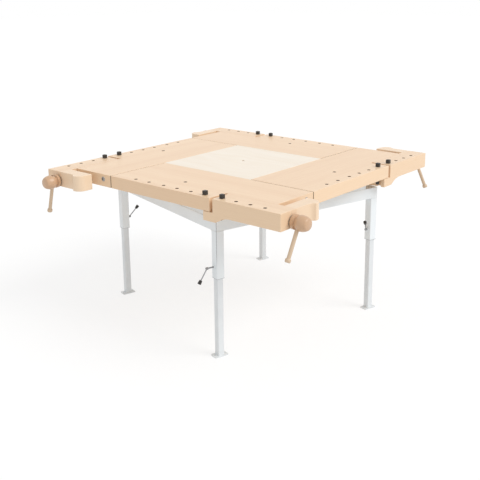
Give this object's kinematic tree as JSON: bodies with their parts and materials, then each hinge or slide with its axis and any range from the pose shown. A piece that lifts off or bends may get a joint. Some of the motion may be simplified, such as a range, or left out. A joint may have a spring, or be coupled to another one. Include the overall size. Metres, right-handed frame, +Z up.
{
  "type": "woodworking bench with vises",
  "caption": "Square woodworking bench with a pinwheel of thick beech boards round a panel, a tail vise at each corner, bench dogs and a steel frame on height-adjustable legs.",
  "frame": {"origin": "on the floor, under the middle of the top", "axes": "+Z up; the front board's outer edge faces -Y and its vise opens towards +X"},
  "size_m": [1.8356, 1.8356, 0.878],
  "materials": {
    "board_beech": "oiled edge-glued beech",
    "jaw_beech": "oiled beech",
    "panel_birch": "pale sanded birch plywood",
    "hidden_wood": "plain sawn wood",
    "turned_beech": "turned and lacquered beech",
    "frame_paint": "light grey powder coat",
    "leg_zinc": "light grey coat, satin",
    "lever_steel": "dark plated steel, with a black plastic grip",
    "screw_steel": "dark oiled steel",
    "rod_steel": "bright turned steel",
    "nut_iron": "cast iron",
    "fastener_zinc": "zinc plated",
    "dog_black": "black moulded plastic",
    "bearer_paint": "wood painted light grey, like the frame",
    "sleeve_grey": "light grey moulded plastic"
  },
  "bodies": {
    "bench": {"board_front": "board_beech", "board_right": "board_beech", "board_back": "board_beech", "board_left": "board_beech", "panel_ledgers": "hidden_wood", "rail_bearers": "bearer_paint", "rail_front": "frame_paint", "rail_right": "frame_paint", "rail_back": "frame_paint", "rail_left": "frame_paint", "leg_upper_front": "frame_paint", "leg_upper_right": "frame_paint", "leg_upper_back": "frame_paint", "leg_upper_left": "frame_paint", "leg_sleeves": "sleeve_grey", "vise_nuts": "nut_iron", "tie_rods": "fastener_zinc", "coach_screws": "fastener_zinc", "wood_screws": "fastener_zinc"},
    "panel": {"centre_panel": "panel_birch"},
    "jaw_front": {"vise_arm_front": "jaw_beech", "vise_cross_block_front": "jaw_beech", "vise_guide_rods_front": "rod_steel"},
    "screw_front": {"vise_screw_front": "screw_steel", "vise_head_front": "turned_beech"},
    "bar_front": {"tommy_bar_front": "turned_beech"},
    "board_dog_front": {"board_dog_front": "dog_black"},
    "jaw_dog_front": {"jaw_dog_front": "dog_black"},
    "jaw_right": {"vise_arm_right": "jaw_beech", "vise_cross_block_right": "jaw_beech", "vise_guide_rods_right": "rod_steel"},
    "screw_right": {"vise_screw_right": "screw_steel", "vise_head_right": "turned_beech"},
    "bar_right": {"tommy_bar_right": "turned_beech"},
    "board_dog_right": {"board_dog_right": "dog_black"},
    "jaw_dog_right": {"jaw_dog_right": "dog_black"},
    "jaw_back": {"vise_arm_back": "jaw_beech", "vise_cross_block_back": "jaw_beech", "vise_guide_rods_back": "rod_steel"},
    "screw_back": {"vise_screw_back": "screw_steel", "vise_head_back": "turned_beech"},
    "bar_back": {"tommy_bar_back": "turned_beech"},
    "board_dog_back": {"board_dog_back": "dog_black"},
    "jaw_dog_back": {"jaw_dog_back": "dog_black"},
    "jaw_left": {"vise_arm_left": "jaw_beech", "vise_cross_block_left": "jaw_beech", "vise_guide_rods_left": "rod_steel"},
    "screw_left": {"vise_screw_left": "screw_steel", "vise_head_left": "turned_beech"},
    "bar_left": {"tommy_bar_left": "turned_beech"},
    "board_dog_left": {"board_dog_left": "dog_black"},
    "jaw_dog_left": {"jaw_dog_left": "dog_black"},
    "leg_front": {"leg_lower_front": "leg_zinc"},
    "lever_front": {"clamp_lever_front": "lever_steel"},
    "leg_right": {"leg_lower_right": "leg_zinc"},
    "lever_right": {"clamp_lever_right": "lever_steel"},
    "leg_back": {"leg_lower_back": "leg_zinc"},
    "lever_back": {"clamp_lever_back": "lever_steel"},
    "leg_left": {"leg_lower_left": "leg_zinc"},
    "lever_left": {"clamp_lever_left": "lever_steel"}
  },
  "joints": [
    {"name": "panel_lift", "type": "slide", "parent": "bench", "child": "panel", "axis": [0, 0, 1], "range_m": [0, 0.1]},
    {"name": "jaw_slide_front", "type": "slide", "parent": "bench", "child": "jaw_front", "axis": [1, 0, 0], "range_m": [-0.018, 0.132]},
    {"name": "screw_spin_front", "type": "hinge", "parent": "jaw_front", "child": "screw_front", "pos_m": [0.8288, -0.632, 0.804], "axis": [1, 0, 0], "range_deg": [-1296, 9504]},
    {"name": "bar_slide_front", "type": "slide", "parent": "screw_front", "child": "bar_front", "axis": [0, 0.4695, 0.8829], "range_m": [0, 0.128]},
    {"name": "board_dog_lift_front", "type": "slide", "parent": "bench", "child": "board_dog_front", "axis": [0, 0, 1], "range_m": [0, 0.06]},
    {"name": "jaw_dog_lift_front", "type": "slide", "parent": "jaw_front", "child": "jaw_dog_front", "axis": [0, 0, 1], "range_m": [0, 0.06]},
    {"name": "jaw_slide_right", "type": "slide", "parent": "bench", "child": "jaw_right", "axis": [0, 1, 0], "range_m": [-0.018, 0.132]},
    {"name": "screw_spin_right", "type": "hinge", "parent": "jaw_right", "child": "screw_right", "pos_m": [0.632, 0.8288, 0.804], "axis": [0, 1, 0], "range_deg": [-1296, 9504]},
    {"name": "bar_slide_right", "type": "slide", "parent": "screw_right", "child": "bar_right", "axis": [-0.4226, 0, 0.9063], "range_m": [0, 0.128]},
    {"name": "board_dog_lift_right", "type": "slide", "parent": "bench", "child": "board_dog_right", "axis": [0, 0, 1], "range_m": [0, 0.06]},
    {"name": "jaw_dog_lift_right", "type": "slide", "parent": "jaw_right", "child": "jaw_dog_right", "axis": [0, 0, 1], "range_m": [0, 0.06]},
    {"name": "jaw_slide_back", "type": "slide", "parent": "bench", "child": "jaw_back", "axis": [-1, 0, 0], "range_m": [-0.018, 0.132]},
    {"name": "screw_spin_back", "type": "hinge", "parent": "jaw_back", "child": "screw_back", "pos_m": [-0.8288, 0.632, 0.804], "axis": [-1, 0, 0], "range_deg": [-1296, 9504]},
    {"name": "bar_slide_back", "type": "slide", "parent": "screw_back", "child": "bar_back", "axis": [0, -0.342, 0.9397], "range_m": [0, 0.128]},
    {"name": "board_dog_lift_back", "type": "slide", "parent": "bench", "child": "board_dog_back", "axis": [0, 0, 1], "range_m": [0, 0.06]},
    {"name": "jaw_dog_lift_back", "type": "slide", "parent": "jaw_back", "child": "jaw_dog_back", "axis": [0, 0, 1], "range_m": [0, 0.06]},
    {"name": "jaw_slide_left", "type": "slide", "parent": "bench", "child": "jaw_left", "axis": [0, -1, 0], "range_m": [-0.018, 0.132]},
    {"name": "screw_spin_left", "type": "hinge", "parent": "jaw_left", "child": "screw_left", "pos_m": [-0.632, -0.8288, 0.804], "axis": [0, -1, 0], "range_deg": [-1296, 9504]},
    {"name": "bar_slide_left", "type": "slide", "parent": "screw_left", "child": "bar_left", "axis": [0.2588, 0, 0.9659], "range_m": [0, 0.128]},
    {"name": "board_dog_lift_left", "type": "slide", "parent": "bench", "child": "board_dog_left", "axis": [0, 0, 1], "range_m": [0, 0.06]},
    {"name": "jaw_dog_lift_left", "type": "slide", "parent": "jaw_left", "child": "jaw_dog_left", "axis": [0, 0, 1], "range_m": [0, 0.06]},
    {"name": "leg_slide_front", "type": "slide", "parent": "bench", "child": "leg_front", "axis": [0, 0, 1], "range_m": [-0.08, 0.07]},
    {"name": "lever_turn_front", "type": "hinge", "parent": "bench", "child": "lever_front", "pos_m": [0.3551, -0.69016, 0.484], "axis": [-0.2527, -0.9675, 0], "range_deg": [0, 180]},
    {"name": "leg_slide_right", "type": "slide", "parent": "bench", "child": "leg_right", "axis": [0, 0, 1], "range_m": [-0.08, 0.07]},
    {"name": "lever_turn_right", "type": "hinge", "parent": "bench", "child": "lever_right", "pos_m": [0.6249, 0.34269, 0.484], "axis": [-0.2527, -0.9675, 0], "range_deg": [0, 180]},
    {"name": "leg_slide_back", "type": "slide", "parent": "bench", "child": "leg_back", "axis": [0, 0, 1], "range_m": [-0.08, 0.07]},
    {"name": "lever_turn_back", "type": "hinge", "parent": "bench", "child": "lever_back", "pos_m": [-0.36306, 0.65968, 0.484], "axis": [0.2527, 0.9675, 0], "range_deg": [0, 180]},
    {"name": "leg_slide_left", "type": "slide", "parent": "bench", "child": "leg_left", "axis": [0, 0, 1], "range_m": [-0.08, 0.07]},
    {"name": "lever_turn_left", "type": "hinge", "parent": "bench", "child": "lever_left", "pos_m": [-0.6249, -0.34269, 0.484], "axis": [0.2527, 0.9675, 0], "range_deg": [0, 180]}
  ],
  "couplings": [
    {"joint": "jaw_slide_front", "follows": "screw_spin_front", "m_per_rad": 0.00079577},
    {"joint": "jaw_slide_right", "follows": "screw_spin_right", "m_per_rad": 0.00079577},
    {"joint": "jaw_slide_back", "follows": "screw_spin_back", "m_per_rad": 0.00079577},
    {"joint": "jaw_slide_left", "follows": "screw_spin_left", "m_per_rad": 0.00079577}
  ]
}
